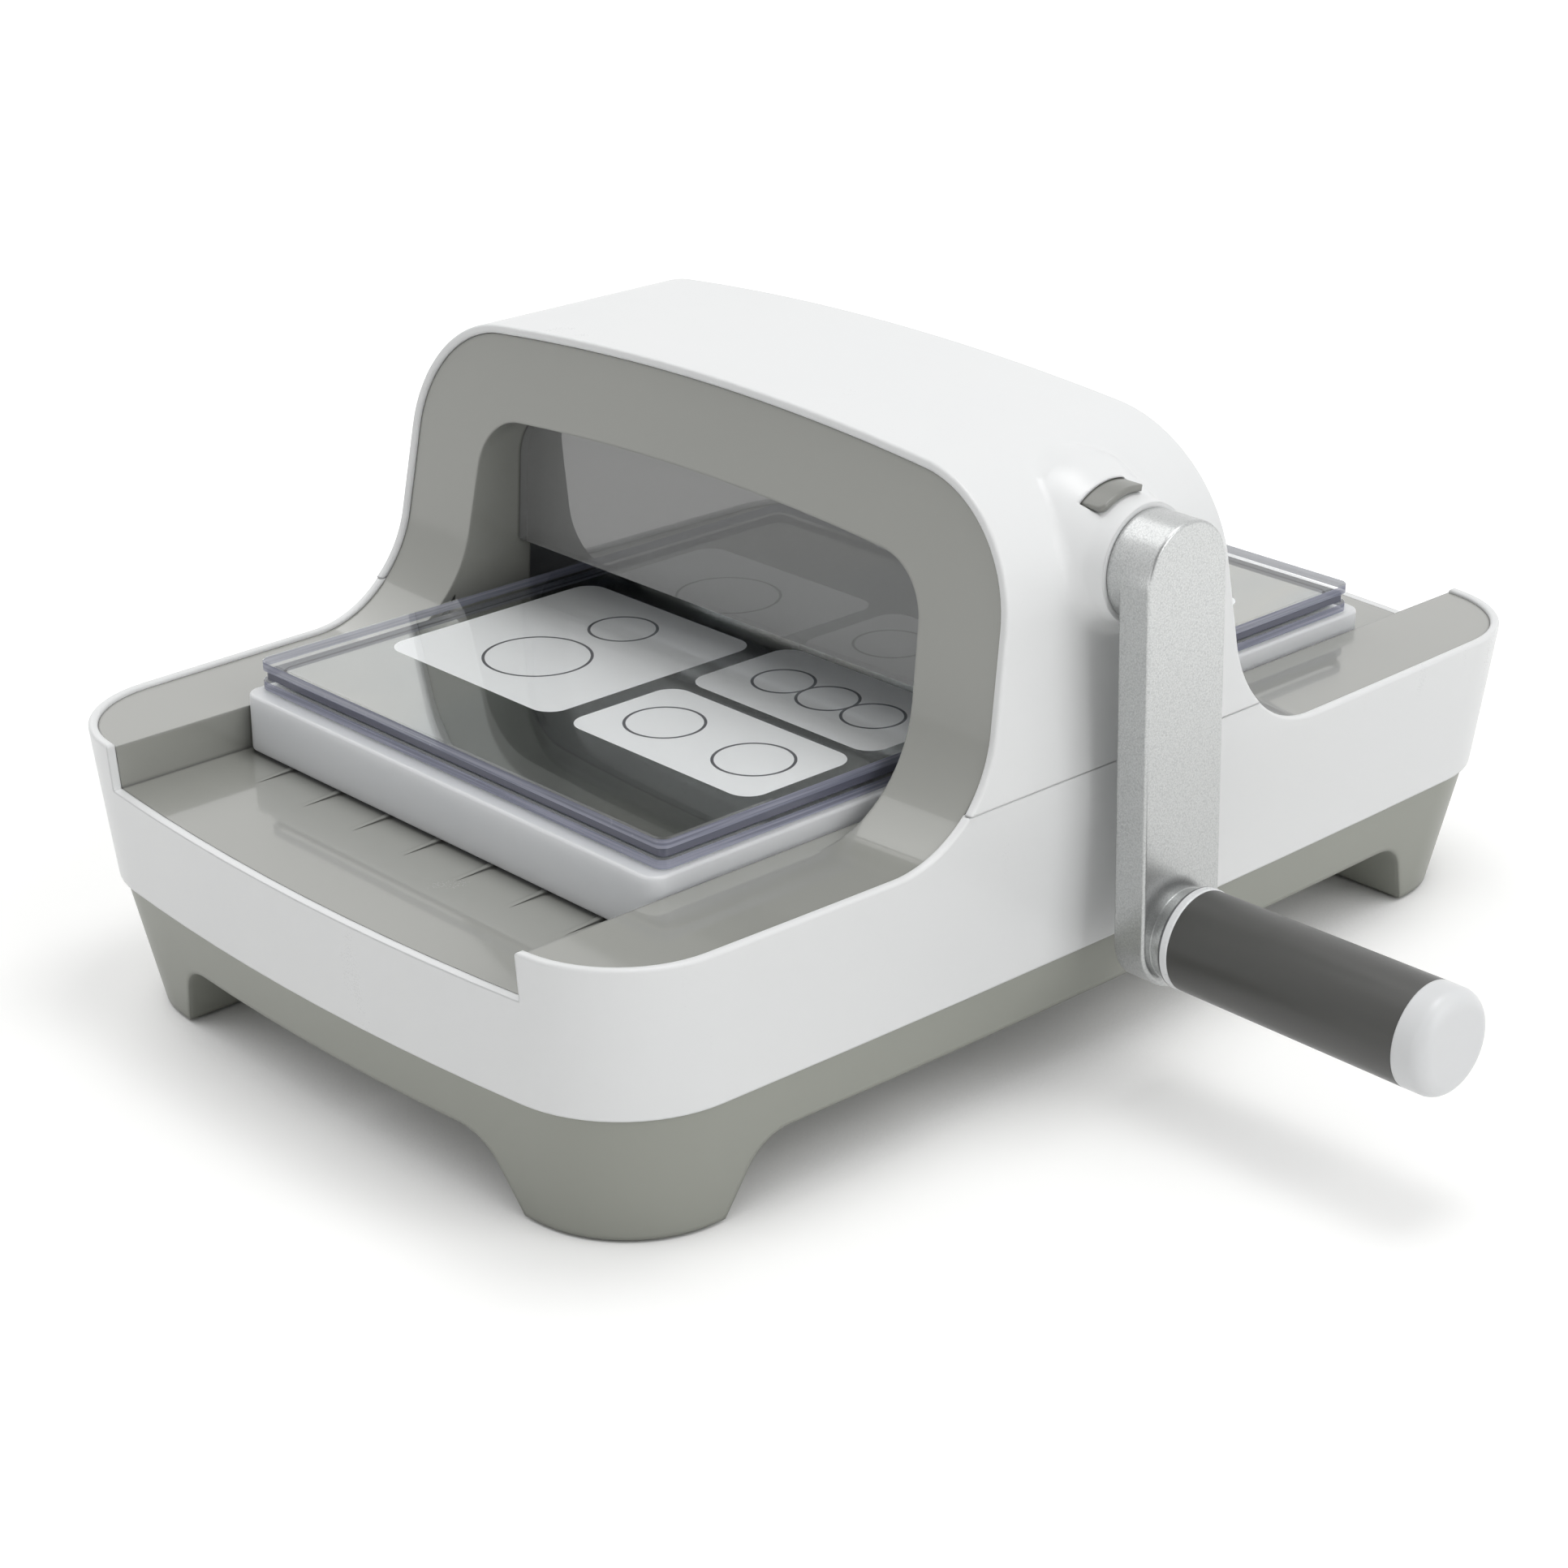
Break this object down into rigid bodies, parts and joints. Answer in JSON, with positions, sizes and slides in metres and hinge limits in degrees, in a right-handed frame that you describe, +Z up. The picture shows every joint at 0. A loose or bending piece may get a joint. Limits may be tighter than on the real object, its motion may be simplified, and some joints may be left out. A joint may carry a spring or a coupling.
{
  "type": "die cutting machine",
  "caption": "Hand-cranked tabletop die cutting machine: geared steel rollers under a white arch press a platform and clear cutting pads through open grey trays.",
  "frame": {"origin": "on the table under the middle of the machine's bounding box, crank and grip included", "axes": "+X towards the crank side, +Y from the front tray to the rear tray, along which the platform feeds, +Z up"},
  "size_m": [0.3234, 0.344, 0.1632],
  "materials": {
    "white_shell": "satin white moulded plastic",
    "grey_shell": "smooth warm grey moulded plastic",
    "smoked_window": "polished smoked clear plastic",
    "foot_rubber": "dull",
    "frame_steel": "zinc grey coating",
    "steel": "turned steel",
    "roller_steel": "ground steel",
    "bush_bronze": "sintered bronze",
    "silver_paint": "fine silver metallic paint",
    "pale_plastic": "smooth pale plastic",
    "grip_charcoal": "satin charcoal sleeve",
    "white_cap": "satin white plastic",
    "button_grey": "smooth warm grey plastic",
    "milky_platform": "milky translucent plastic",
    "clear_pad": "clear cast plastic, bluish at the edges",
    "dark_plate": "dark glossy plate"
  },
  "bodies": {
    "machine": {"base_shell": "grey_shell", "foot_pads": "foot_rubber", "base_screws": "steel", "apron_shell": "white_shell", "arch_cover": "white_shell", "front_deck": "grey_shell", "rear_deck": "grey_shell", "front_window": "smoked_window", "rear_window": "smoked_window", "left_side_frame": "frame_steel", "right_side_frame": "frame_steel", "upper_left_bush": "bush_bronze", "lower_left_bush": "bush_bronze", "upper_right_bush": "bush_bronze", "lower_right_bush": "bush_bronze", "crank_bush": "bush_bronze", "boss_bush": "bush_bronze", "tie_rods": "steel", "tie_rod_screws": "steel", "idler_studs": "steel", "button_spring": "steel"},
    "stack": {"platform": "milky_platform", "lower_cutting_pad": "clear_pad", "base_plate": "dark_plate", "upper_cutting_pad": "clear_pad"},
    "upper_roller": {"upper_roller": "roller_steel", "upper_sync_gear": "steel", "drive_gear": "steel"},
    "lower_roller": {"lower_roller": "roller_steel", "lower_sync_gear": "steel"},
    "upper_idler": {"upper_idler_gear": "steel"},
    "lower_idler": {"lower_idler_gear": "steel"},
    "crank": {"crank_shaft": "steel", "crank_pinion": "steel", "crank_arm": "silver_paint", "grip_spindle": "steel"},
    "grip": {"grip_core": "pale_plastic", "grip_sleeve": "grip_charcoal", "grip_end_cap": "white_cap"},
    "button": {"release_button": "button_grey"}
  },
  "joints": [
    {"name": "platform_feed", "type": "slide", "parent": "machine", "child": "stack", "axis": [0, 1, 0], "range_m": [-0.11, 0.11]},
    {"name": "upper_roller_spin", "type": "hinge", "parent": "machine", "child": "upper_roller", "pos_m": [0, -0.0083, 0.1047], "axis": [1, 0, 0], "continuous": true},
    {"name": "lower_roller_spin", "type": "hinge", "parent": "machine", "child": "lower_roller", "pos_m": [0, -0.0083, 0.0477], "axis": [1, 0, 0], "continuous": true},
    {"name": "upper_idler_spin", "type": "hinge", "parent": "machine", "child": "upper_idler", "pos_m": [0, -0.0083, 0.0857], "axis": [1, 0, 0], "continuous": true},
    {"name": "lower_idler_spin", "type": "hinge", "parent": "machine", "child": "lower_idler", "pos_m": [0, -0.0083, 0.0667], "axis": [1, 0, 0], "continuous": true},
    {"name": "crank_turn", "type": "hinge", "parent": "machine", "child": "crank", "pos_m": [0, -0.0083, 0.13545], "axis": [1, 0, 0], "continuous": true},
    {"name": "grip_spin", "type": "hinge", "parent": "crank", "child": "grip", "pos_m": [0.1, -0.00463, 0.04412], "axis": [1, 0, 0], "continuous": true},
    {"name": "button_press", "type": "slide", "parent": "machine", "child": "button", "axis": [-1, 0, 0], "range_m": [0, 0.003], "stiffness_N_per_m": 600, "springref_m": -0.002, "deforming": ["button_spring"]}
  ],
  "couplings": [
    {"joint": "upper_roller_spin", "follows": "platform_feed", "rad_per_m": 60.79},
    {"joint": "lower_roller_spin", "follows": "platform_feed", "rad_per_m": -60.79},
    {"joint": "upper_idler_spin", "follows": "platform_feed", "rad_per_m": -60.79},
    {"joint": "lower_idler_spin", "follows": "platform_feed", "rad_per_m": 60.79},
    {"joint": "crank_turn", "follows": "platform_feed", "rad_per_m": -146.91}
  ]
}
